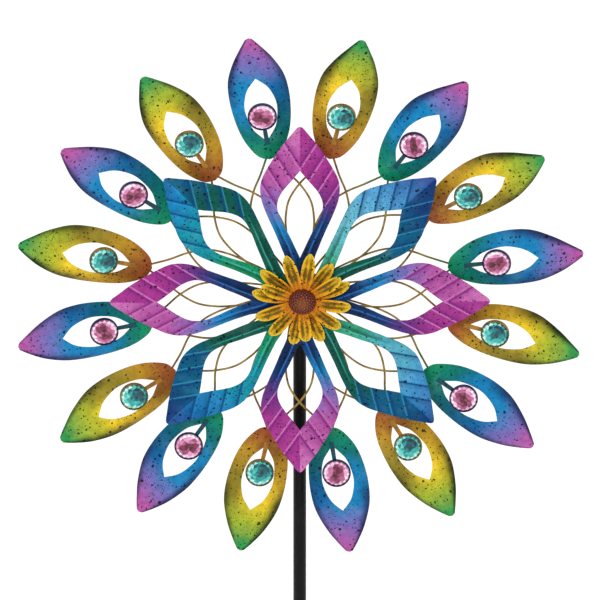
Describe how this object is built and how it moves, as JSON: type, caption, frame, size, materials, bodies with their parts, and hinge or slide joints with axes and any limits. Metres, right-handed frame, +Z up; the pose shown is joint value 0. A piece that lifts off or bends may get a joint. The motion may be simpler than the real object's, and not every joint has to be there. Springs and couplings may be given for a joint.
{
  "type": "wind spinner",
  "caption": "Kinetic garden wind spinner: two pierced, jewelled petal wheels turning freely one behind the other on a sectional pole with a ground fork.",
  "frame": {"origin": "on the pole's axis at the ground line, with the prongs below it", "axes": "+Z up along the pole, -Y the way the wheels face, +X to the right seen from the front"},
  "size_m": [0.601, 0.0734, 1.9005],
  "materials": {
    "blue_vane_paint": "glossy translucent paint, green at the base through blue to violet at the tip, with black flecks",
    "gold_vane_paint": "glossy translucent paint, brown at the base through gold to green at the tip, with black flecks",
    "magenta_petal_paint": "glossy paint, navy at the root through purple to magenta at the tip, with black flecks",
    "teal_petal_paint": "glossy paint, green at the root through teal to royal blue at the tip, with black flecks",
    "stake_paint": "satin black powder coat",
    "zinc_steel": "zinc plated",
    "bushing_plastic": "matte",
    "hub_paint": "satin antique brass paint",
    "gold_wire_paint": "satin antique gold paint with black flecks",
    "navy_bezel": "glossy navy enamel",
    "gold_bezel": "polished, milled edge",
    "pink_jewel": "faceted, foil backed",
    "teal_jewel": "faceted, foil backed",
    "flower_paint": "satin yellow paint shaded with brown",
    "flower_centre_paint": "matte textured brown"
  },
  "bodies": {
    "stand": {"ground_spike": "stake_paint", "side_prongs": "stake_paint", "step_bar": "stake_paint", "lower_pole": "stake_paint", "middle_pole": "stake_paint", "upper_pole": "stake_paint", "pole_couplers": "stake_paint", "set_screws": "zinc_steel", "pole_head": "stake_paint", "axle": "zinc_steel", "axle_nuts": "zinc_steel", "thrust_washer": "zinc_steel", "middle_collar": "zinc_steel", "end_washer": "zinc_steel", "lock_nut": "zinc_steel"},
    "rear_wheel": {"blue_vane_1": "blue_vane_paint", "blue_vane_2": "blue_vane_paint", "blue_vane_3": "blue_vane_paint", "blue_vane_4": "blue_vane_paint", "blue_vane_5": "blue_vane_paint", "blue_vane_6": "blue_vane_paint", "blue_vane_7": "blue_vane_paint", "blue_vane_8": "blue_vane_paint", "gold_vane_1": "gold_vane_paint", "gold_vane_2": "gold_vane_paint", "gold_vane_3": "gold_vane_paint", "gold_vane_4": "gold_vane_paint", "gold_vane_5": "gold_vane_paint", "gold_vane_6": "gold_vane_paint", "gold_vane_7": "gold_vane_paint", "gold_vane_8": "gold_vane_paint", "pink_bezels": "navy_bezel", "pink_jewels": "pink_jewel", "rear_bushings": "bushing_plastic", "rear_hub": "hub_paint", "teal_bezels": "gold_bezel", "teal_jewels": "teal_jewel", "wire_loops": "gold_wire_paint"},
    "front_wheel": {"front_hub": "hub_paint", "front_bushings": "bushing_plastic", "petal_rivets": "zinc_steel", "flower_back": "flower_paint", "flower_front": "flower_paint", "flower_centre": "flower_centre_paint", "flower_screws": "zinc_steel", "magenta_petal_1": "magenta_petal_paint", "magenta_petal_2": "magenta_petal_paint", "magenta_petal_3": "magenta_petal_paint", "magenta_petal_4": "magenta_petal_paint", "teal_petal_1": "teal_petal_paint", "teal_petal_2": "teal_petal_paint", "teal_petal_3": "teal_petal_paint", "teal_petal_4": "teal_petal_paint"}
  },
  "joints": [
    {"name": "rear_wheel_spin", "type": "hinge", "parent": "stand", "child": "rear_wheel", "pos_m": [0, -0.021, 1.42], "axis": [0, 1, 0], "continuous": true},
    {"name": "front_wheel_spin", "type": "hinge", "parent": "stand", "child": "front_wheel", "pos_m": [0, -0.037, 1.42], "axis": [0, 1, 0], "continuous": true}
  ]
}
